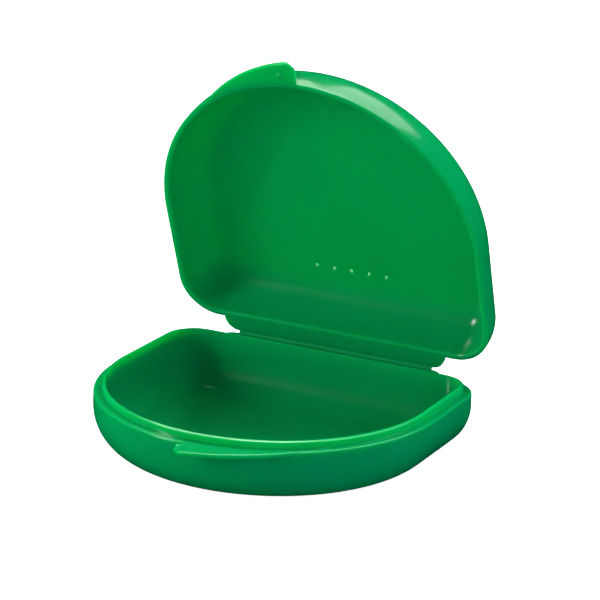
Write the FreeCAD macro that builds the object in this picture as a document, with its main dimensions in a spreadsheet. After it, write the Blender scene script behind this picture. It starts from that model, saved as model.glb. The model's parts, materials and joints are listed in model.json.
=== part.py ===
import FreeCAD, Part
import math
import os
import Sketcher
from FreeCAD import Placement, Rotation, Vector

# Hinged carrying case for a sports mouthguard, moulded in one shot and shown open.
#
# Row frame, millimetres: origin at the centre of the tray's flat underside, X across the
# case, Y towards the hinge, Z up. The tray and the lid share one plan: a straight rear edge,
# rounded rear corners, flanks that flare slightly, and a half-round front.

DIMENSIONS = (
    # plan shared by the tray and the lid
    ("case_width", 86.0),         # widest point, where the flanks meet the half-round front
    ("case_length", 74.5),        # rear edge to nose, without the hinge and the thumb tabs
    ("flank_flare", 1.12),        # degrees, each flank against the centre line
    ("corner_radius", 10.1),      # rear corners in plan
    ("edge_round", 0.4),          # moulded rounding of the exposed rim edges
    # tray
    ("tray_height", 13.9),        # underside to ledge
    ("tray_round", 9.8),          # bottom edge, outside
    ("floor_thick", 1.6),
    ("cavity_round", 6.9),        # bottom edge, inside
    ("ledge_width", 2.05),        # outer face to the raised lip
    ("lip_thick", 0.9),
    ("lip_height", 1.9),
    # lid
    ("lid_height", 13.5),         # rim plane to crown
    ("lid_overhang", 0.2),        # how far the lid stands proud of the tray all round
    ("lid_draft", 9.0),           # degrees, outer wall
    ("lid_round", 8.0),           # crown edge, outside
    ("lid_wall", 1.45),           # nominal plan to the inner face at the rim
    ("lid_roof", 1.5),
    ("lid_cavity_draft", 8.0),
    ("lid_cavity_round", 6.4),
    ("parting_gap", 0.2),         # ledge to lid rim when closed
    # living hinge and the two flaps that carry it
    ("hinge_setback", 4.2),       # rear edge to hinge axis
    ("hinge_shift", -0.75),       # hinge and tabs sit a little to one side
    ("hinge_half", 26.8),         # half the length of the web
    ("flap_half", 30.5),          # half the length of a flap at the wall
    ("flap_thick", 1.2),
    ("web_reach", 0.6),           # axis to the edge of each flap
    ("web_thick", 0.3),
    ("open_angle", 70.3),         # degrees the lid is open from closed
    # thumb tabs, one on each half, side by side when closed
    ("tab_lap", 0.35),            # how far each tab passes the shared split line
    ("tab_radius", 44.37),
    ("tab_centre_x", 8.32),       # tab arc's centre, from the split line
    ("tab_centre_y", -0.31),
    ("tab_nose", 41.75),          # split line's end, forward of the origin
    ("tab_tip_x", 1.95),          # tip of the tab, from the split line
    ("tab_thick", 1.2),
    ("tab_root", 0.7),            # how deep a tab is rooted in its wall
    # snap nubs
    ("nub_radius", 0.75),
    ("nub_forward", 39.15),       # forward of the origin
    ("lid_nub_x", 3.95),          # from the split line
    ("lid_nub_drop", 0.45),       # how far the lid's nub stands out of its tab
    # vent holes in the crown
    ("vent_diameter", 1.3),
    ("vent_pitch", 4.8),
    ("vent_setback", 11.9),       # rear edge to the row of holes
    ("vent_count", 5),
    ("vent_overrun", 1.5),        # how far the cut runs past the roof into the hollow
)

doc = FreeCAD.newDocument("mouthguard_case")


def make_sheet():
    """Driving dimensions, one alias per row."""
    sheet = doc.addObject("Spreadsheet::Sheet", "dims")
    for row, (alias, value) in enumerate(DIMENSIONS, start=1):
        sheet.set(f"A{row}", alias)
        sheet.set(f"B{row}", str(value))
        sheet.setAlias(f"B{row}", alias)
    doc.recompute()
    return sheet


dims = make_sheet()


def dim(name):
    return float(getattr(dims, name))


# ---------------------------------------------------------------- helpers


def new_body(label):
    body = doc.addObject("PartDesign::Body", label)
    body.Label = label
    return body


def plane_of(body, role):
    for feature in body.Origin.OriginFeatures:
        if feature.Role == role:
            return feature
    raise ValueError(role)


def new_sketch(body, name, level="0", role="XY_Plane"):
    """Sketch on an origin plane, raised by an expression of the sheet."""
    sketch = body.newObject("Sketcher::SketchObject", name)
    sketch.AttachmentSupport = [(plane_of(body, role), "")]
    sketch.MapMode = "FlatFace"
    sketch.setExpression("AttachmentOffset.Base.z", level)
    return sketch


def constrain(sketch, name, expression, *constraint):
    """Add a dimension that the sheet drives."""
    index = sketch.addConstraint(Sketcher.Constraint(*constraint))
    sketch.renameConstraint(index, name)
    sketch.setExpression("Constraints." + name, expression)


def join(sketch, *pairs):
    for first, first_end, second, second_end in pairs:
        sketch.addConstraint(Sketcher.Constraint("Coincident", first, first_end, second, second_end))


def arc(centre, radius, start, end):
    """Arc of a circle in a sketch, angles in radians, counter-clockwise."""
    circle = Part.Circle(Vector(*centre, 0), Vector(0, 0, 1), radius)
    return Part.ArcOfCircle(circle, start, end)


def line(start, end):
    return Part.LineSegment(Vector(*start, 0), Vector(*end, 0))


def plan_sketch(body, name, level, inset):
    """The case's plan, offset inwards by an expression of the sheet."""
    sketch = new_sketch(body, name, level)
    inset_now = float(dims.evalExpression(inset))
    flare = math.radians(dim("flank_flare"))
    front = dim("case_width") / 2 - inset_now
    corner = dim("corner_radius") - inset_now
    rear = dim("case_length") / 2 - inset_now
    front_centre = (0.0, -(dim("case_length") - dim("case_width")) / 2)
    outward = (math.cos(flare), math.sin(flare))
    flank_front = (front * outward[0], front_centre[1] + front * outward[1])
    corner_y = rear - corner
    # the corner's centre lies one corner radius inside the flank line
    along = (corner_y + corner * outward[1] - flank_front[1]) / math.cos(flare)
    flank_rear = (flank_front[0] - along * math.sin(flare), corner_y + corner * outward[1])
    corner_x = flank_rear[0] - corner * outward[0]
    half = math.pi / 2
    sketch.addGeometry([
        line((-corner_x, rear), (corner_x, rear)),
        arc((corner_x, corner_y), corner, flare, half),
        line(flank_rear, flank_front),
        arc(front_centre, front, math.pi - flare, flare + 2 * math.pi),
        line((-flank_front[0], flank_front[1]), (-flank_rear[0], flank_rear[1])),
        arc((-corner_x, corner_y), corner, half, math.pi - flare),
    ], False)
    for first, first_end, second, second_end in (
        (0, 2, 1, 2), (1, 1, 2, 1), (2, 2, 3, 2), (3, 1, 4, 1), (4, 2, 5, 2), (5, 1, 0, 1),
    ):
        sketch.addConstraint(
            Sketcher.Constraint("Tangent", first, first_end, second, second_end))
    sketch.addConstraint(Sketcher.Constraint("Symmetric", 0, 1, 0, 2, -2))
    sketch.addConstraint(Sketcher.Constraint("Equal", 1, 5))
    sketch.addConstraint(Sketcher.Constraint("PointOnObject", 3, 3, -2))
    constrain(sketch, "corner", f"dims.corner_radius - ({inset})", "Radius", 1, corner)
    constrain(sketch, "front", f"dims.case_width / 2 - ({inset})", "Radius", 3, front)
    constrain(sketch, "front_y", "(dims.case_length - dims.case_width) / 2",
              "DistanceY", 3, 3, -1, 1, -front_centre[1])
    constrain(sketch, "rear_y", f"dims.case_length / 2 - ({inset})",
              "DistanceY", -1, 1, 0, 2, rear)
    constrain(sketch, "flare", "dims.flank_flare * 1deg", "Angle", -2, 2, 2, 1, flare)
    return sketch


def pad(body, name, sketch, length):
    feature = body.newObject("PartDesign::Pad", name)
    feature.Profile = sketch
    feature.setExpression("Length", length)
    return feature


def pocket(body, name, sketch, depth, upwards=False):
    """Pocket that cuts towards -Z from its sketch, or towards +Z if upwards."""
    feature = body.newObject("PartDesign::Pocket", name)
    feature.Profile = sketch
    feature.Reversed = upwards
    feature.setExpression("Length", depth)
    return feature


def fillet(body, name, base, radius, chosen):
    """Round the base feature's edges that the test chooses."""
    doc.recompute()
    names = [f"Edge{i}" for i, edge in enumerate(base.Shape.Edges, start=1) if chosen(edge)]
    feature = body.newObject("PartDesign::Fillet", name)
    feature.Base = (base, names)
    feature.setExpression("Radius", radius)
    return feature


def level_edge(height, keep=lambda point: True):
    """Test for edges that lie flat at a height, and whose middle passes keep."""
    def test(edge):
        box = edge.BoundBox
        flat = abs(box.ZMin - height) < 1e-4 and abs(box.ZMax - height) < 1e-4
        middle = edge.valueAt((edge.FirstParameter + edge.LastParameter) / 2)
        return flat and keep(middle)
    return test


def on_outer_edge(point):
    """True for a point that lies on the case's plan, give or take the lid's overhang."""
    centre_y = -(dim("case_length") - dim("case_width")) / 2
    if point.y < centre_y:
        inset = dim("case_width") / 2 - math.hypot(point.x, point.y - centre_y)
    else:
        inset = min(dim("case_width") / 2 - abs(point.x), dim("case_length") / 2 - point.y)
    return inset < dim("lid_wall") / 2


def flap_sketch(body, name, level, front_edge):
    """Flap behind the rear wall: quarter-round ends, narrower at the hinge line."""
    sketch = new_sketch(body, name, level)
    rear_wall = dim("case_length") / 2
    hinge_edge = rear_wall + dim("hinge_setback") - dim("web_reach")
    root = rear_wall - float(dims.evalExpression(front_edge))
    middle = dim("hinge_shift")
    left = middle - dim("flap_half")
    right = middle + dim("flap_half")
    left_end = middle - dim("hinge_half")
    right_end = middle + dim("hinge_half")
    bend = dim("flap_half") - dim("hinge_half")
    bend_y = hinge_edge - bend
    half = math.pi / 2
    sketch.addGeometry([
        line((left, root), (right, root)),
        line((right, root), (right, bend_y)),
        arc((right_end, bend_y), bend, 0.0, half),
        line((right_end, hinge_edge), (left_end, hinge_edge)),
        arc((left_end, bend_y), bend, half, math.pi),
        line((left, bend_y), (left, root)),
    ], False)
    join(sketch, (0, 2, 1, 1), (5, 2, 0, 1))
    for first, first_end, second, second_end in (
        (1, 2, 2, 1), (2, 2, 3, 1), (3, 2, 4, 1), (4, 2, 5, 1),
    ):
        sketch.addConstraint(
            Sketcher.Constraint("Tangent", first, first_end, second, second_end))
    sketch.addConstraint(Sketcher.Constraint("Horizontal", 0))
    sketch.addConstraint(Sketcher.Constraint("Vertical", 1))
    sketch.addConstraint(Sketcher.Constraint("Vertical", 5))
    sketch.addConstraint(Sketcher.Constraint("Equal", 2, 4))
    constrain(sketch, "bend", "dims.flap_half - dims.hinge_half", "Radius", 2, bend)
    constrain(sketch, "root_y", f"dims.case_length / 2 - ({front_edge})",
              "DistanceY", -1, 1, 0, 1, root)
    constrain(sketch, "edge_y", "dims.case_length / 2 + dims.hinge_setback - dims.web_reach",
              "DistanceY", -1, 1, 3, 1, hinge_edge)
    constrain(sketch, "right_x", "dims.hinge_shift + dims.flap_half",
              "DistanceX", -1, 1, 0, 2, right)
    constrain(sketch, "left_x", "dims.flap_half - dims.hinge_shift",
              "DistanceX", 0, 1, -1, 1, -left)
    return sketch


def circles_meet(centre_a, radius_a, centre_b, radius_b, side):
    """Front crossing of two circles on the given side of the centre line."""
    dx = centre_b[0] - centre_a[0]
    dy = centre_b[1] - centre_a[1]
    gap = math.hypot(dx, dy)
    along = (radius_a ** 2 - radius_b ** 2 + gap ** 2) / (2 * gap)
    across = math.sqrt(radius_a ** 2 - along ** 2)
    middle = (centre_a[0] + along * dx / gap, centre_a[1] + along * dy / gap)
    ends = [(middle[0] + turn * across * dy / gap, middle[1] - turn * across * dx / gap)
            for turn in (1, -1)]
    return max(ends, key=lambda end: side * end[0])


def tab_sketch(body, name, level, side):
    """Thumb tab in plan: an arc that leaves the front edge and ends at the split line.

    side is -1 for the lid's tab and 1 for the tray's, which mirror each other about
    the split line.
    """
    sketch = new_sketch(body, name, level)
    split = dim("hinge_shift")
    case_centre = (0.0, -(dim("case_length") - dim("case_width")) / 2)
    root_radius = dim("case_width") / 2 - dim("tab_root")
    tab_centre = (split - side * dim("tab_centre_x"), dim("tab_centre_y"))
    end_x = split - side * dim("tab_lap")
    tip_x = split + side * dim("tab_tip_x")
    nose_y = -dim("tab_nose")
    tip_y = tab_centre[1] - math.sqrt(dim("tab_radius") ** 2 - (tip_x - tab_centre[0]) ** 2)
    end_y = case_centre[1] - math.sqrt(root_radius ** 2 - end_x ** 2)
    start = circles_meet(tab_centre, dim("tab_radius"), case_centre, root_radius, side)

    def angle(centre, point):
        return math.atan2(point[1] - centre[1], point[0] - centre[0]) % (2 * math.pi)

    outer = [angle(tab_centre, start), angle(tab_centre, (tip_x, tip_y))]
    inner = [angle(case_centre, start), angle(case_centre, (end_x, end_y))]
    # arcs run counter-clockwise: the start comes first on the lid's side only
    first, last = (1, 2) if side < 0 else (2, 1)
    sketch.addGeometry([
        arc(tab_centre, dim("tab_radius"), *sorted(outer)),
        line((tip_x, tip_y), (end_x, nose_y)),
        line((end_x, nose_y), (end_x, end_y)),
        arc(case_centre, root_radius, *sorted(inner)),
    ], False)
    join(sketch, (0, last, 1, 1), (1, 2, 2, 1), (2, 2, 3, last), (3, first, 0, first))
    sketch.addConstraint(Sketcher.Constraint("Vertical", 2))
    sketch.addConstraint(Sketcher.Constraint("PointOnObject", 3, 3, -2))
    constrain(sketch, "root_y", "(dims.case_length - dims.case_width) / 2",
              "DistanceY", 3, 3, -1, 1, -case_centre[1])
    constrain(sketch, "root", "dims.case_width / 2 - dims.tab_root", "Radius", 3, root_radius)
    constrain(sketch, "reach", "dims.tab_radius", "Radius", 0, dim("tab_radius"))
    constrain(sketch, "centre_y", "dims.tab_centre_y", "DistanceY", -1, 1, 0, 3, tab_centre[1])
    constrain(sketch, "centre_x", f"dims.hinge_shift - {side} * dims.tab_centre_x",
              "DistanceX", -1, 1, 0, 3, tab_centre[0])
    constrain(sketch, "end_x", f"dims.hinge_shift - {side} * dims.tab_lap",
              "DistanceX", -1, 1, 2, 1, end_x)
    constrain(sketch, "nose_y", "-dims.tab_nose", "DistanceY", -1, 1, 2, 1, nose_y)
    constrain(sketch, "tip_x", f"dims.hinge_shift + {side} * dims.tab_tip_x",
              "DistanceX", -1, 1, 1, 1, tip_x)
    return sketch


def nub(body, name, x, y, z):
    """Small round snap nub, centred at three expressions of the sheet."""
    ball = body.newObject("PartDesign::AdditiveSphere", name)
    ball.setExpression("Radius", "dims.nub_radius")
    ball.AttachmentSupport = [(plane_of(body, "XY_Plane"), "")]
    ball.MapMode = "FlatFace"
    ball.setExpression("AttachmentOffset.Base.x", x)
    ball.setExpression("AttachmentOffset.Base.y", y)
    ball.setExpression("AttachmentOffset.Base.z", z)
    return ball


# ---------------------------------------------------------------- sub-parts


def make_base_tray():
    """Tray with a ledge, a raised lip inside it, a hinge flap and the right-hand tab."""
    body = new_body("base_tray")
    ledge = "dims.tray_height"
    pad(body, "tray_block", plan_sketch(body, "tray_plan", "0", "0"), ledge)
    lip_plan = plan_sketch(body, "lip_plan", ledge, "dims.ledge_width")
    pad(body, "lip", lip_plan, "dims.lip_height")
    cavity_plan = plan_sketch(body, "cavity_plan", ledge + " + dims.lip_height",
                              "dims.ledge_width + dims.lip_thick")
    cavity = pocket(body, "cavity", cavity_plan,
                    "dims.tray_height + dims.lip_height - dims.floor_thick")
    bowl = fillet(body, "cavity_bottom", cavity, "dims.cavity_round",
                  level_edge(dim("floor_thick")))
    rounded = fillet(body, "tray_bottom", bowl, "dims.tray_round", level_edge(0))
    ledge_edge = fillet(body, "ledge_edge", rounded, "dims.edge_round",
                        level_edge(dim("tray_height"), on_outer_edge))
    fillet(body, "lip_crest", ledge_edge, "dims.edge_round",
           level_edge(dim("tray_height") + dim("lip_height")))
    tab_plan = tab_sketch(body, "tab_plan", ledge + " - dims.tab_thick", 1)
    pad(body, "thumb_tab", tab_plan, "dims.tab_thick")
    flap_plan = flap_sketch(body, "flap_plan", ledge + " - dims.flap_thick", "dims.tab_root")
    pad(body, "hinge_flap", flap_plan, "dims.flap_thick")
    nub(body, "snap_nub", "dims.hinge_shift - dims.tab_lap", "-dims.nub_forward",
        ledge + " - dims.nub_radius")
    return body


def make_lid():
    """Domed lid, drawn closed over the tray and then swung open about the hinge."""
    body = new_body("lid_shell")
    rim = "(dims.tray_height + dims.parting_gap)"
    dome = pad(body, "dome", plan_sketch(body, "dome_plan", rim, "-dims.lid_overhang"),
               "dims.lid_height")
    dome.setExpression("TaperAngle", "-dims.lid_draft")
    hollow_plan = plan_sketch(body, "hollow_plan", rim, "dims.lid_wall")
    hollow = pocket(body, "hollow", hollow_plan, "dims.lid_height - dims.lid_roof", upwards=True)
    hollow.setExpression("TaperAngle", "-dims.lid_cavity_draft")
    rim_level = dim("tray_height") + dim("parting_gap")
    roof = fillet(body, "hollow_top", hollow, "dims.lid_cavity_round",
                  level_edge(rim_level + dim("lid_height") - dim("lid_roof")))
    crown = fillet(body, "crown_edge", roof, "dims.lid_round",
                   level_edge(rim_level + dim("lid_height")))
    fillet(body, "rim_edge", crown, "dims.edge_round", level_edge(rim_level, on_outer_edge))
    tab_plan = tab_sketch(body, "tab_plan", rim, -1)
    pad(body, "thumb_tab", tab_plan, "dims.tab_thick")
    flap_plan = flap_sketch(body, "flap_plan", rim, "dims.tab_root")
    pad(body, "hinge_flap", flap_plan, "dims.flap_thick")
    nub(body, "snap_nub", "dims.hinge_shift - dims.lid_nub_x", "-dims.nub_forward",
        rim + " + dims.nub_radius - dims.lid_nub_drop")
    add_vents(body, rim)
    body.Placement = open_placement()
    return body


def add_vents(body, rim):
    """Row of through holes in the crown, parallel to the hinge."""
    sketch = new_sketch(body, "vent_plan", rim + " + dims.lid_height")
    row_y = dim("case_length") / 2 - dim("vent_setback")
    first_x = -dim("vent_pitch") * (dim("vent_count") - 1) / 2
    radius = dim("vent_diameter") / 2
    sketch.addGeometry(Part.Circle(Vector(first_x, row_y, 0), Vector(0, 0, 1), radius), False)
    constrain(sketch, "hole", "dims.vent_diameter", "Diameter", 0, 2 * radius)
    constrain(sketch, "row_y", "dims.case_length / 2 - dims.vent_setback",
              "DistanceY", -1, 1, 0, 3, row_y)
    constrain(sketch, "first_x", "dims.vent_pitch * (dims.vent_count - 1) / 2",
              "DistanceX", 0, 3, -1, 1, -first_x)
    hole = pocket(body, "vent", sketch, "dims.lid_roof + dims.vent_overrun")
    doc.recompute()
    pattern = body.newObject("PartDesign::LinearPattern", "vent_row")
    pattern.Originals = [hole]
    pattern.Direction = (sketch, ["H_Axis"])
    pattern.setExpression("Length", "dims.vent_pitch * (dims.vent_count - 1)")
    pattern.setExpression("Occurrences", "dims.vent_count")
    body.Tip = pattern


def hinge_axis():
    """A point on the hinge axis, which runs along X."""
    y = dim("case_length") / 2 + dim("hinge_setback")
    z = dim("tray_height") + dim("parting_gap") / 2
    return Vector(0, y, z)


def open_placement():
    swing = Rotation(Vector(1, 0, 0), -dim("open_angle"))
    return Placement(Vector(0, 0, 0), swing, hinge_axis())


def make_living_hinge():
    """Thin curved web between the two flaps, bent as it is with the lid open."""
    body = new_body("living_hinge")
    sketch = new_sketch(body, "web_section", "dims.hinge_shift - dims.hinge_half", "YZ_Plane")
    axis = hinge_axis()
    reach = dim("web_reach")
    rise = reach * math.tan(math.radians(dim("open_angle") / 2))
    centre = (axis.y - reach, axis.z + rise)
    inner = rise + dim("parting_gap") / 2
    outer = inner + dim("web_thick")
    start = -math.pi / 2
    end = math.radians(90 - dim("open_angle"))

    def at(radius, angle):
        return (centre[0] + radius * math.cos(angle), centre[1] + radius * math.sin(angle))

    sketch.addGeometry([
        arc(centre, inner, start, end),
        line(at(inner, end), at(outer, end)),
        arc(centre, outer, start, end),
        line(at(outer, start), at(inner, start)),
    ], False)
    join(sketch, (0, 2, 1, 1), (1, 2, 2, 2), (2, 1, 3, 1), (3, 2, 0, 1), (0, 3, 2, 3))
    sketch.addConstraint(Sketcher.Constraint("Vertical", 3))
    rise_rule = "dims.web_reach * tan(dims.open_angle * 0.5deg)"
    constrain(sketch, "inner", rise_rule + " + dims.parting_gap / 2", "Radius", 0, inner)
    constrain(sketch, "outer", rise_rule + " + dims.parting_gap / 2 + dims.web_thick",
              "Radius", 2, outer)
    constrain(sketch, "centre_y", "dims.case_length / 2 + dims.hinge_setback - dims.web_reach",
              "DistanceX", -1, 1, 0, 3, centre[0])
    constrain(sketch, "centre_z", "dims.tray_height + dims.parting_gap / 2 + " + rise_rule,
              "DistanceY", -1, 1, 0, 3, centre[1])
    constrain(sketch, "swing", "(90 - dims.open_angle) * 1deg", "Angle", 1, end)
    pad(body, "web", sketch, "2 * dims.hinge_half")
    return body


# ---------------------------------------------------------------- build and write


def check(bodies):
    """Stop if any object failed or any sub-part isn't one valid solid."""
    for item in doc.Objects:
        if "Invalid" in item.State or "Error" in item.State:
            raise RuntimeError(f"{item.Name} failed: {item.State}")
    for body in bodies:
        shape = body.Shape
        if shape.isNull() or not shape.isValid() or len(shape.Solids) != 1:
            raise RuntimeError(f"{body.Label} isn't one valid solid")


def main():
    bodies = [make_base_tray(), make_lid(), make_living_hinge()]
    doc.recompute()
    check(bodies)
    os.makedirs("parts", exist_ok=True)
    for body in bodies:
        body.Shape.exportStep(f"parts/{body.Label}.step")
        box = body.Shape.BoundBox
        print(f"{body.Label}: {body.Shape.Volume:.0f} mm3, {box}")


main()
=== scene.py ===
import json
import math

import bmesh
import bpy
from mathutils import Matrix, Vector


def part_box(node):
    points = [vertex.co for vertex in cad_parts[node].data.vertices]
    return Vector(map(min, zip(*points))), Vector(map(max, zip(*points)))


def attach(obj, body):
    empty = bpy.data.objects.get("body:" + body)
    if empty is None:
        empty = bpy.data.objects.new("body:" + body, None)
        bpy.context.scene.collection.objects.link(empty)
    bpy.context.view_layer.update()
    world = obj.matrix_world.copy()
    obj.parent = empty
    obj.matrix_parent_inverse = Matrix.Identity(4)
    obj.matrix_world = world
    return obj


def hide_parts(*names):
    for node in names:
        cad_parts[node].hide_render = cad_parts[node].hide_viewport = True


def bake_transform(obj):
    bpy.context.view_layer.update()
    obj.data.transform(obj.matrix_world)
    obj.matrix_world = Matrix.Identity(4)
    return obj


# Looks of the mouthguard case. Three smooth-skinned mouldings, the tray, the lid and the
# hinge's web, stand in for the three CAD nodes. Their shapes are written in millimetres in
# the frame of the CAD model, and scaled to metres when each mesh is made. The lid is drawn
# closed over the tray and then swung open about the hinge.

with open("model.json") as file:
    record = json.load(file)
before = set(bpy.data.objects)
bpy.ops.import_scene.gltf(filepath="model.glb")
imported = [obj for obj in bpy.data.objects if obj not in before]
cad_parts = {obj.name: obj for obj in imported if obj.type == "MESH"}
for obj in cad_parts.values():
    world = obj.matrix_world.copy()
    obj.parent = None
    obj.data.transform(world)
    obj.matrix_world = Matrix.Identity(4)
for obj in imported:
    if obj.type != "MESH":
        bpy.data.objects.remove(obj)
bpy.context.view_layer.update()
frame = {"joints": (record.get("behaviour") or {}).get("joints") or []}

MM = 0.001

# ------------------------------------------------------------------ sizes read from the frame


def node_box(name):
    """Lowest and highest corners of a CAD node, in millimetres."""
    return [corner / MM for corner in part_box(name)]


TRAY_HIGH = node_box("base_tray")[1]
LID_HIGH = node_box("lid_shell")[1]
WEB_LOW, WEB_HIGH = node_box("living_hinge")
HINGE = frame["joints"][0]
AXIS = Vector(HINGE["pos_m"]) / MM
OPEN_ANGLE = math.radians(-HINGE["range_deg"][0])

# ------------------------------------------------------------------ sizes of the case

HINGE_SETBACK = 4.2                       # rear wall to the hinge axis
PARTING_GAP = 0.2                         # ledge to the lid's rim when closed
HALF_WIDTH = TRAY_HIGH.x
REAR = AXIS.y - HINGE_SETBACK
FRONT_CENTRE = (0.0, HALF_WIDTH - REAR)   # of the half-round front, on a case centred in Y
CORNER = 10.1                             # rear corners in plan
FLARE = math.radians(1.12)                # the flanks widen this much towards the front
LEDGE = AXIS.z - PARTING_GAP / 2
RIM = AXIS.z + PARTING_GAP / 2
LID_HEIGHT = 13.5
ROOF = 1.5                                # thickness of the lid's crown
PLATE = 1.2                               # thickness of the tabs and flaps
ROOT = 1.0                                # how deep tabs and flaps are rooted in a wall
CAP_CENTRE = (0.0, 3.0)                   # where the rings of a floor or crown close in plan
CAP_RINGS = 11

SPLIT = AXIS.x                            # the tabs meet here, and the hinge is centred here
TAB_RADIUS = 44.37
TAB_CENTRE = (8.32, -0.31)                # of the tab's arc, from the split line
TAB_LAP = 0.35                            # how far a tab's nose passes the split line
TAB_NOSE = -41.75
TAB_TIP = 1.95                            # from the split line back to the end of the arc
TAB_TRIM = 0.3                            # the arc of the lid's tab is this much smaller
NOSE_SHIFT = (-0.42, 0.36)                # and its nose is moved by this
TIP_ROUND = 0.7                           # the tip's two corners in plan
NOSE_ROUND = 0.5
TAB_OUTER_EDGE = 0.3                      # edge roundings on the faces turned away from the
TAB_MEETING_EDGE = 0.45                   # other half, and on those that meet it
FLAP_OUTER_EDGE = 0.25
FLAP_MEETING_EDGE = 0.15

NUB_Y = -39.15
NUB_DEPTH = 0.7                           # from a nub's centre to the meeting face of its tab
TRAY_NUB_RADIUS = 0.75
LID_NUB_RADIUS = 1.25
LID_NUB_SETBACK = 3.95                    # from the split line

WEB_REACH = 0.25                          # from the hinge axis to the edge of each flap
FLAP_HALF = 30.5                          # half the flaps' length, and half the web's
HINGE_HALF = (WEB_HIGH.x - WEB_LOW.x) / 2

VENT_COUNT = 5
VENT_PITCH = 4.8
VENT_SETBACK = 11.9                       # rear wall to the row of holes
VENT_RADIUS = 0.68
VENT_ROUND = 0.06

# ------------------------------------------------------------------ lines and arcs


def bend(centre, radii, start, end, steps):
    """Points on an elliptical arc, angles in degrees, both ends included."""
    points = []
    for step in range(steps + 1):
        angle = math.radians(start + (end - start) * step / steps)
        points.append((centre[0] + radii[0] * math.cos(angle), centre[1] + radii[1] * math.sin(angle)))
    return points


def arc(centre, radius, start, end, steps):
    """Points on a circular arc, angles in degrees, both ends included."""
    return bend(centre, (radius, radius), start, end, steps)


def run(start, end, steps):
    """Inner points of a straight stretch, without its ends."""
    return [(start[0] + (end[0] - start[0]) * step / steps, start[1] + (end[1] - start[1]) * step / steps)
            for step in range(1, steps)]


def running_on(centre, radius, next_radius, angle):
    """Centre of the arc that runs on smoothly from another one at an angle."""
    turn = math.radians(angle)
    return (centre[0] + (radius - next_radius) * math.cos(turn),
            centre[1] + (radius - next_radius) * math.sin(turn))


def rounded_edge(low, high, round_low, round_high, steps=5):
    """(inset, height) pairs up a plate's edge, with its lower and upper corners rounded."""
    return (arc((round_low, low + round_low), round_low, 270, 180, steps)
            + arc((round_high, high - round_high), round_high, 180, 90, steps))


def bearing(centre, point):
    """Direction of a point as seen from a centre, in degrees."""
    return math.degrees(math.atan2(point[1] - centre[1], point[0] - centre[0]))


def left_crossing(centre_a, radius_a, centre_b, radius_b):
    """The left-hand crossing of two circles."""
    gap = Vector(centre_b) - Vector(centre_a)
    along = (radius_a ** 2 - radius_b ** 2 + gap.length_squared) / (2 * gap.length)
    across = math.sqrt(radius_a ** 2 - along ** 2)
    way = gap.normalized()
    middle = Vector(centre_a) + way * along
    turned = Vector((-way.y, way.x)) * across
    return min((middle + turned, middle - turned), key=lambda point: point.x)


def softened(before, corner, after, reach, steps=6):
    """A corner of an outline turned into a small curve."""
    corner = Vector(corner)
    start = corner + (Vector(before) - corner).normalized() * reach
    end = corner + (Vector(after) - corner).normalized() * reach
    return [tuple(start * (1 - t) ** 2 + corner * 2 * t * (1 - t) + end * t ** 2)
            for t in (step / steps for step in range(steps + 1))]


def moved_in(edge, distance):
    """An open outline edge moved to its left, which is inwards on an anticlockwise outline."""
    normals = []
    for here, after in zip(edge, edge[1:]):
        along = (Vector(after) - Vector(here)).normalized()
        normals.append(Vector((-along.y, along.x)))
    moved = []
    for i, point in enumerate(edge):
        before = normals[max(i - 1, 0)]
        after = normals[min(i, len(normals) - 1)]
        mitre = (before + after).normalized()
        moved.append(Vector(point) + mitre * (distance / mitre.dot(before)))
    return moved


# ------------------------------------------------------------------ plan of the case


def arc_stations(centre, radius, start, end, steps):
    """Points on an arc of the plan, each with its outward direction."""
    return [(point, ((point[0] - centre[0]) / radius, (point[1] - centre[1]) / radius))
            for point in arc(centre, radius, start, end, steps)]


def plan_stations(rear_steps=14, corner_steps=18, flank_steps=10, front_steps=60):
    """Points of the plan with their outward directions, clockwise from the rear centre."""
    outward = (math.cos(FLARE), math.sin(FLARE))
    corner_y = REAR - CORNER
    reach = HALF_WIDTH + FRONT_CENTRE[1] * outward[1] - CORNER - corner_y * outward[1]
    corner = (reach / outward[0], corner_y)
    flare = math.degrees(FLARE)
    rear = [((corner[0] * step / rear_steps, REAR), (0.0, 1.0)) for step in range(rear_steps)]
    turn = arc_stations(corner, CORNER, 90, flare, corner_steps)
    front = arc_stations(FRONT_CENTRE, HALF_WIDTH, flare, -90, front_steps)
    flank = [(point, outward) for point in run(turn[-1][0], front[0][0], flank_steps)]
    half = rear + turn + flank + front
    mirrored = [((-p[0], p[1]), (-n[0], n[1])) for p, n in reversed(half[1:-1])]
    return half + mirrored


STATIONS = plan_stations()


def ring(inset, height):
    """The plan offset inwards, at a height."""
    return [Vector((p[0] - inset * n[0], p[1] - inset * n[1], height)) for p, n in STATIONS]


# ------------------------------------------------------------------ mesh helpers


def new_object(name, build):
    """Mesh object from a function that fills a bmesh in millimetres."""
    mesh = bpy.data.meshes.new(name)
    shape = bmesh.new()
    build(shape)
    bmesh.ops.recalc_face_normals(shape, faces=shape.faces)
    if shape.calc_volume(signed=True) < 0:
        bmesh.ops.reverse_faces(shape, faces=shape.faces)
    shape.transform(Matrix.Scale(MM, 4))
    shape.to_mesh(mesh)
    shape.free()
    obj = bpy.data.objects.new(name, mesh)
    bpy.context.scene.collection.objects.link(obj)
    return obj


def bridge(shape, rings):
    """Quads between each ring of vertices and the next."""
    for first, second in zip(rings, rings[1:]):
        count = len(first)
        for i in range(count):
            j = (i + 1) % count
            shape.faces.new((first[i], first[j], second[j], second[i]))


def close_form(shape, rings):
    """Quads between the rings, and one face over each end."""
    bridge(shape, rings)
    shape.faces.new(rings[0])
    shape.faces.new(rings[-1])


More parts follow.
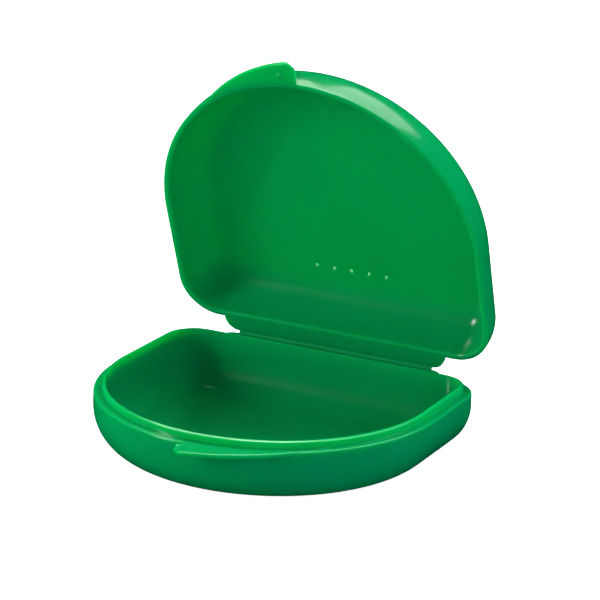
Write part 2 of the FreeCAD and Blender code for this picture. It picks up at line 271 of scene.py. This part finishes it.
def cap(shape, edge, dish):
    """Close a ring with shrinking rings. dish is how far the middle stands off the edge's plane."""
    rings = [edge]
    level = edge[0].co.z
    for step in range(1, CAP_RINGS):
        share = 1 - step / CAP_RINGS
        height = level + dish * (1 - share ** 2)
        rings.append([shape.verts.new((CAP_CENTRE[0] + (v.co.x - CAP_CENTRE[0]) * share,
                                       CAP_CENTRE[1] + (v.co.y - CAP_CENTRE[1]) * share, height))
                      for v in edge])
    bridge(shape, rings)
    middle = shape.verts.new((*CAP_CENTRE, level + dish))
    last = rings[-1]
    for i in range(len(last)):
        shape.faces.new((last[i], last[(i + 1) % len(last)], middle))


def shell(name, section, first_dish, last_dish):
    """Closed moulding: a section carried round the plan, with both ends capped."""
    def build(shape):
        rings = [[shape.verts.new(v) for v in ring(inset, height)] for inset, height in section]
        bridge(shape, rings)
        cap(shape, rings[0], first_dish)
        cap(shape, rings[-1], last_dish)
    return new_object(name, build)


def plate(name, edge, root, low, high, round_low, round_high):
    """Flat plate. Its free edge has rounded rims, and its root lies buried in a wall."""
    def build(shape):
        close_form(shape, [[shape.verts.new((p[0], p[1], height)) for p in moved_in(edge, inset) + root]
                           for inset, height in rounded_edge(low, high, round_low, round_high)])
    return new_object(name, build)


def ball(name, centre, radius, upper=1.0):
    """Ball. Its upper half can be flattened so that it stays inside a thin plate."""
    def build(shape):
        bmesh.ops.create_uvsphere(shape, u_segments=32, v_segments=20, radius=radius)
        for vertex in shape.verts:
            if vertex.co.z > 0:
                vertex.co.z *= upper
        bmesh.ops.translate(shape, verts=shape.verts, vec=centre)
    return new_object(name, build)


def spool(name, centre, radius, low, high, flare, sides=24):
    """Round cutter that widens towards both ends, so that a hole's rims come out rounded."""
    section = [(2 * flare, low - flare)]
    section += rounded_edge(low, high, flare, flare)
    section.append((2 * flare, high + flare))

    def build(shape):
        last_turn = 360 - 360 / sides
        close_form(shape, [[shape.verts.new((x, y, height))
                            for x, y in arc(centre, radius + wider, 0, last_turn, sides - 1)]
                           for wider, height in section])
    return new_object(name, build)


def combine(obj, tools, operation):
    """Add or subtract closed meshes, and make the result the object's own mesh."""
    for tool in tools:
        step = obj.modifiers.new(operation, "BOOLEAN")
        step.operation = operation
        step.solver = "EXACT"
        step.object = tool
    graph = bpy.context.evaluated_depsgraph_get()
    mesh = bpy.data.meshes.new_from_object(obj.evaluated_get(graph))
    obj.modifiers.clear()
    obj.data = mesh
    for tool in tools:
        bpy.data.objects.remove(tool)


def smooth(obj, sharpest=40):
    """Smooth shading with creases kept, and flats that stay flat."""
    for face in obj.data.polygons:
        face.use_smooth = True
    obj.data.set_sharp_from_angle(angle=math.radians(sharpest))
    weighted = obj.modifiers.new("even_normals", "WEIGHTED_NORMAL")
    weighted.keep_sharp = True


# ------------------------------------------------------------------ tabs and flaps


def tab_outline(side):
    """Thumb tab's free edge and its root. side is -1 for the lid's tab and 1 for the tray's.

    An arc leaves the front wall and ends in a cut-off tip at the split line. It is written for
    the lid, and mirrored at the split line for the tray.
    """
    front = (SPLIT + side * (SPLIT - FRONT_CENTRE[0]), FRONT_CENTRE[1])
    centre = (SPLIT + TAB_CENTRE[0], TAB_CENTRE[1])
    trim, shift = (TAB_TRIM, NOSE_SHIFT) if side < 0 else (0.0, (0.0, 0.0))
    radius = TAB_RADIUS - trim
    tip_x = SPLIT - TAB_TIP
    tip = (tip_x, centre[1] - math.sqrt(radius ** 2 - (tip_x - centre[0]) ** 2))
    nose = (SPLIT + TAB_LAP + shift[0], TAB_NOSE + shift[1])
    root_radius = HALF_WIDTH - ROOT
    heel = (nose[0], front[1] - math.sqrt(root_radius ** 2 - (nose[0] - front[0]) ** 2))
    away = left_crossing(centre, radius, front, HALF_WIDTH - ROOT / 2)
    curve = arc(centre, radius, bearing(centre, away), bearing(centre, tip), steps=44)[:-2]
    edge = curve + softened(curve[-1], tip, nose, TIP_ROUND)
    edge += softened(tip, nose, heel, NOSE_ROUND) + [heel]
    start = bearing(front, (nose[0] - 2 * ROOT, heel[1]))
    root = arc(front, root_radius, start, bearing(front, away), steps=30)
    if side > 0:
        edge = [(2 * SPLIT - x, y) for x, y in reversed(edge)]
        root = [(2 * SPLIT - x, y) for x, y in reversed(root)]
    return edge, [Vector(point) for point in root]


def flap_outline():
    """Hinge flap's free edge, with quarter-round ends, and its root.

    The edge starts and ends inside the rear wall, so the root needs no points of its own.
    """
    edge = AXIS.y - WEB_REACH
    turn = FLAP_HALF - HINGE_HALF
    right = arc((SPLIT + HINGE_HALF, edge - turn), turn, 0, 90, steps=10)
    left = arc((SPLIT - HINGE_HALF, edge - turn), turn, 90, 180, steps=10)
    inside = REAR - ROOT
    return [(SPLIT + FLAP_HALF, inside)] + right + left + [(SPLIT - FLAP_HALF, inside)], []


# ------------------------------------------------------------------ the three mouldings


def make_tray():
    """Tray: rounded underside, ledge, and a raised lip whose crest slopes down outwards."""
    foot_reach = 9.8                      # bend from the flat underside up to the wall
    foot_rise = 10.5
    ledge_round = 0.55
    fillet = 0.2                          # in the corner of the ledge and the lip
    lip_out = 2.05                        # insets of the lip's two faces
    lip_in = 3.0
    lip_top = TRAY_HIGH.z
    outer_round = 0.25                    # roundings over the lip, from outside to inside
    crest_round = 4.2
    inner_round = 0.2
    crest_start = 115                     # directions in which the crest starts and ends
    crest_end = 107
    hollow_reach = 6.85                   # bend from the inner wall down to the floor
    hollow_bottom = 10.0
    floor = 1.6

    inner = (lip_in - inner_round, lip_top - inner_round)
    crest = running_on(inner, inner_round, crest_round, crest_end)
    outer = running_on(crest, crest_round, outer_round, crest_start)
    section = bend((foot_reach, foot_rise), (foot_reach, foot_rise), 270, 180, steps=22)
    section += run((0.0, foot_rise), (0.0, LEDGE - ledge_round), steps=4)
    section += arc((ledge_round, LEDGE - ledge_round), ledge_round, 180, 90, steps=8)
    section += run((ledge_round, LEDGE), (lip_out - fillet, LEDGE), steps=4)
    section += arc((lip_out - fillet, LEDGE + fillet), fillet, 270, 360, steps=4)
    section += run((lip_out, LEDGE + fillet), (lip_out, outer[1]), steps=3)
    section += arc(outer, outer_round, 180, crest_start, steps=5)
    section += arc(crest, crest_round, crest_start, crest_end, steps=5)[1:]
    section += arc(inner, inner_round, crest_end, 0, steps=5)[1:]
    section += run((lip_in, inner[1]), (lip_in, hollow_bottom), steps=6)
    section += bend((lip_in + hollow_reach, hollow_bottom),
                    (hollow_reach, hollow_bottom - floor), 180, 270, steps=20)
    tray = shell("tray", section, first_dish=0.0, last_dish=-0.12)
    combine(tray, [
        plate("tab", *tab_outline(1), LEDGE - PLATE, LEDGE, TAB_OUTER_EDGE, TAB_MEETING_EDGE),
        plate("flap", *flap_outline(), LEDGE - PLATE, LEDGE, FLAP_OUTER_EDGE, FLAP_MEETING_EDGE),
        ball("nub", (SPLIT - TAB_LAP, NUB_Y, LEDGE - NUB_DEPTH), TRAY_NUB_RADIUS),
    ], "UNION")
    return tray


def make_lid():
    """Lid: crown, curved wall and flat rim, drawn closed and swung open at the end."""
    overhang = LID_HIGH.x - HALF_WIDTH    # how far the lid's wall stands out past the tray's
    wall = 1.45
    crown = RIM + LID_HEIGHT
    crown_reach = 8.4                     # bend from the crown down to the outer wall
    skirt = 1.4                           # upright part of the outer wall
    outer_round = 0.35                    # the rim's two edges
    inner_round = 0.65
    hollow_reach = 8.3                    # bend from the inner wall up to the roof
    hollow_skirt = 1.6

    section = bend((crown_reach, RIM + skirt),
                   (crown_reach + overhang, LID_HEIGHT - skirt), 90, 180, steps=24)
    section += run((-overhang, RIM + skirt), (-overhang, RIM + outer_round), steps=3)
    section += arc((outer_round - overhang, RIM + outer_round), outer_round, 180, 270, steps=6)
    section += run((outer_round - overhang, RIM), (wall - inner_round, RIM), steps=4)
    section += arc((wall - inner_round, RIM + inner_round), inner_round, 270, 360, steps=8)
    section += bend((hollow_reach, RIM + hollow_skirt),
                    (hollow_reach - wall, LID_HEIGHT - ROOF - hollow_skirt), 180, 90, steps=24)
    lid = shell("lid", section, first_dish=0.1, last_dish=0.12)
    nub_centre = (SPLIT - LID_NUB_SETBACK, NUB_Y, RIM + NUB_DEPTH)
    combine(lid, [
        plate("tab", *tab_outline(-1), RIM, RIM + PLATE, TAB_MEETING_EDGE, TAB_OUTER_EDGE),
        plate("flap", *flap_outline(), RIM, RIM + PLATE, FLAP_MEETING_EDGE, FLAP_OUTER_EDGE),
        ball("nub", nub_centre, LID_NUB_RADIUS, upper=0.3),
    ], "UNION")
    first_vent = -VENT_PITCH * (VENT_COUNT - 1) / 2
    combine(lid, [
        spool("vent", (first_vent + VENT_PITCH * place, REAR - VENT_SETBACK), VENT_RADIUS,
              crown - ROOF, crown, VENT_ROUND)
        for place in range(VENT_COUNT)
    ], "DIFFERENCE")
    swing = (Matrix.Translation(AXIS * MM) @ Matrix.Rotation(-OPEN_ANGLE, 4, "X")
             @ Matrix.Translation(-AXIS * MM))
    lid.data.transform(swing)
    return lid


def make_web():
    """Living hinge: a thin strip that curves from the tray's flap round to the lid's."""
    thick = 0.2
    overlap = 0.3                         # flat ends laid over both flaps
    sunk = 0.01                           # into both flaps
    rise = WEB_REACH * math.tan(OPEN_ANGLE / 2)
    centre = (AXIS.y - WEB_REACH, AXIS.z + rise)
    inner = rise + PARTING_GAP / 2 - sunk
    start = -90.0
    end = 90.0 - math.degrees(OPEN_ANGLE)
    along = 60
    around = 12
    towards_lid = (-overlap * math.cos(OPEN_ANGLE), overlap * math.sin(OPEN_ANGLE))

    near = arc(centre, inner, start, end, around)
    far = arc(centre, inner + thick, end, start, around)
    near.insert(0, (near[0][0] - overlap, near[0][1]))
    near.append((near[-1][0] + towards_lid[0], near[-1][1] + towards_lid[1]))
    far.insert(0, (far[0][0] + towards_lid[0], far[0][1] + towards_lid[1]))
    far.append((far[-1][0] - overlap, far[-1][1]))

    def build(shape):
        columns = []
        for step in range(along + 1):
            x = WEB_LOW.x + (WEB_HIGH.x - WEB_LOW.x) * step / along
            columns.append([shape.verts.new((x, y, z)) for y, z in near + far])
        close_form(shape, columns)
    web = new_object("hinge_web", build)
    angle = math.radians(end)
    first = Vector((AXIS.x, centre[0], centre[1] - inner))
    last = Vector((AXIS.x, centre[0] + inner * math.cos(angle), centre[1] + inner * math.sin(angle)))
    return web, first * MM, last * MM


# ------------------------------------------------------------------ materials


def plastic(name, colour, roughness, depth):
    """Glossy moulded polypropylene with a faintly uneven skin.

    Light sinks in by depth, in metres, and green light goes furthest.
    """
    tone_spread = 0.05
    material = bpy.data.materials.new(name)
    material.use_nodes = True
    nodes = material.node_tree.nodes
    links = material.node_tree.links
    shader = nodes["Principled BSDF"]
    shader.inputs["IOR"].default_value = 1.49
    shader.inputs["Subsurface Weight"].default_value = 1.0
    shader.inputs["Subsurface Radius"].default_value = (0.1, 1.0, 0.4)
    shader.inputs["Subsurface Scale"].default_value = depth
    place = nodes.new("ShaderNodeTexCoord")

    def noise(scale, detail):
        node = nodes.new("ShaderNodeTexNoise")
        node.inputs["Scale"].default_value = scale
        node.inputs["Detail"].default_value = detail
        links.new(place.outputs["Object"], node.inputs["Vector"])
        return node.outputs["Fac"]

    tone = nodes.new("ShaderNodeMix")
    tone.data_type = "RGBA"
    tone.inputs["A"].default_value = (*(part * (1 - tone_spread) for part in colour), 1)
    tone.inputs["B"].default_value = (*(part * (1 + tone_spread) for part in colour), 1)
    links.new(noise(scale=60, detail=3), tone.inputs["Factor"])
    links.new(tone.outputs["Result"], shader.inputs["Base Color"])
    gloss = nodes.new("ShaderNodeMapRange")
    gloss.inputs["To Min"].default_value = roughness - 0.02
    gloss.inputs["To Max"].default_value = roughness + 0.03
    links.new(noise(scale=350, detail=4), gloss.inputs["Value"])
    links.new(gloss.outputs["Result"], shader.inputs["Roughness"])
    bump = nodes.new("ShaderNodeBump")
    bump.inputs["Strength"].default_value = 0.06
    bump.inputs["Distance"].default_value = 0.0002
    links.new(noise(scale=500, detail=2), bump.inputs["Height"])
    links.new(bump.outputs["Normal"], shader.inputs["Normal"])
    return material


def paper():
    """Matt white table that the case stands on, lit from below so that it shows no shadow."""
    material = bpy.data.materials.new("paper")
    material.use_nodes = True
    shader = material.node_tree.nodes["Principled BSDF"]
    shader.inputs["Base Color"].default_value = (0.9, 0.9, 0.9, 1)
    shader.inputs["Roughness"].default_value = 0.9
    shader.inputs["Emission Color"].default_value = (1, 1, 1, 1)
    shader.inputs["Emission Strength"].default_value = 0.9
    return material


# ------------------------------------------------------------------ assembly

CASE_GREEN = (0.0008, 0.30, 0.068)
# The web's green is paler than the case's: a painted highlight that stands in for the bright line along
# the hinge.
WEB_GREEN_PAINTED_HIGHLIGHT = (0.004, 0.40, 0.10)
case_plastic = plastic("case_plastic", CASE_GREEN, roughness=0.17, depth=0.005)
web_plastic_painted_highlight = plastic("hinge_web", WEB_GREEN_PAINTED_HIGHLIGHT, roughness=0.22, depth=0.0005)

tray = make_tray()
lid = make_lid()
web, web_start, web_end = make_web()
for piece, material in ((tray, case_plastic), (lid, case_plastic), (web, web_plastic_painted_highlight)):
    piece.data.materials.clear()
    piece.data.materials.append(material)
    smooth(piece)

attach(tray, "base")
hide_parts("base_tray")
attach(lid, "lid")
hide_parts("lid_shell")
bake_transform(web)
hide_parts("living_hinge")

# ------------------------------------------------------------------ floor, light and camera

CENTRE = Vector((0.0, 0.0, 0.04))         # what the lamps point at, in metres
LAMP_DISTANCE = 1.2


def make_floor():
    """Square table top at the case's foot, seen by the camera but casting no light or shadow."""
    reach = 3000.0

    def build(shape):
        corners = [(-reach, -reach), (reach, -reach), (reach, reach), (-reach, reach)]
        shape.faces.new([shape.verts.new((x, y, 0)) for x, y in corners])
    floor = new_object("floor", build)
    floor.data.materials.append(paper())
    floor.visible_shadow = False
    floor.visible_diffuse = False
    floor.visible_glossy = False


def direction(azimuth, elevation):
    """Unit vector from the object: azimuth 0 is in front of it (-Y), and 90 is towards +X."""
    turn = math.radians(azimuth)
    rise = math.radians(elevation)
    return Vector((math.sin(turn) * math.cos(rise), -math.cos(turn) * math.cos(rise), math.sin(rise)))


def softbox(name, place, size, power, colour=(1, 1, 1), distance=LAMP_DISTANCE, reflects=False):
    """A rectangular lamp that faces the case from an (azimuth, elevation).

    Only the lamps that reflect show as highlights on the plastic.
    """
    light = bpy.data.lights.new(name, "AREA")
    light.shape = "RECTANGLE"
    light.size = size[0]
    light.size_y = size[1]
    light.energy = power
    light.color = colour
    lamp = bpy.data.objects.new(name, light)
    towards = direction(*place)
    lamp.location = CENTRE + towards * distance
    lamp.rotation_mode = "QUATERNION"
    lamp.rotation_quaternion = towards.to_track_quat("Z", "Y")
    lamp.visible_camera = False
    lamp.visible_glossy = reflects
    bpy.context.scene.collection.objects.link(lamp)


def make_lamps():
    """Four lamps that make the highlights, then cool fills from all round that don't reflect."""
    softbox("key", (170, 62), (0.68, 0.85), 6.3, distance=1.0, reflects=True)
    softbox("overhead_strip", (210, 72), (0.35, 0.3), 3.0, reflects=True)
    softbox("rear_left_box", (228, 54), (0.45, 0.45), 3.0, (1.0, 1.0, 0.9), reflects=True)
    softbox("front_left_strip", (312, 24.5), (0.2, 0.32), 4.0, reflects=True)
    fill_size = (0.8, 0.8)
    for name, place, power, colour in (
        ("top_fill", (0, 90), 4.0, (0.7, 0.7, 1.0)),
        ("rear_right_fill", (135, 50), 10.0, (0.65, 0.65, 1.0)),
        ("front_fill", (0, 10), 3.0, (0.2, 0.2, 1.0)),
        ("front_right_fill", (45, 10), 3.8, (0.9, 0.9, 1.0)),
        ("front_left_fill", (315, 10), 8.6, (1.0, 1.0, 0.98)),
        ("right_fill", (90, 10), 12.5, (0.56, 0.56, 1.0)),
        ("left_fill", (270, 10), 14.0, (0.62, 0.62, 1.0)),
        ("table_bounce", (0, -30), 4.0, (0.6, 0.6, 1.0)),
    ):
        softbox(name, place, fill_size, power, colour)


def make_world():
    """White studio behind everything. The plastic isn't lit by it and doesn't reflect it."""
    world = bpy.data.worlds.new("studio")
    world.use_nodes = True
    background = world.node_tree.nodes["Background"]
    background.inputs["Color"].default_value = (1, 1, 1, 1)
    background.inputs["Strength"].default_value = 1.0
    world.cycles_visibility.diffuse = False
    world.cycles_visibility.glossy = False
    bpy.context.scene.world = world


def make_camera():
    """Long lens from the front right, slightly above, and rolled a little."""
    azimuth = 26.51
    elevation = 17.95
    roll = math.radians(1.85)
    distance = 1.0135
    off_hinge = Vector((-0.01032, -0.00099, 0.01174))
    aim = Vector((0.0, AXIS.y, AXIS.z)) * MM + off_hinge
    back = direction(azimuth, elevation)
    level = Vector((math.cos(math.radians(azimuth)), math.sin(math.radians(azimuth)), 0))
    upright = back.cross(level)
    right = level * math.cos(roll) + upright * math.sin(roll)
    up = upright * math.cos(roll) - level * math.sin(roll)
    camera = bpy.data.objects.new("camera", bpy.data.cameras.new("camera"))
    camera.data.lens = 244.0
    camera.data.sensor_width = 36.0
    camera.data.clip_start = 0.05
    camera.data.clip_end = 20.0
    turned = Matrix((right, up, back)).transposed().to_4x4()
    camera.matrix_world = Matrix.Translation(aim + back * distance) @ turned
    bpy.context.scene.collection.objects.link(camera)
    bpy.context.scene.camera = camera


make_floor()
make_world()
make_lamps()
make_camera()
bpy.context.scene.view_settings.view_transform = "Standard"
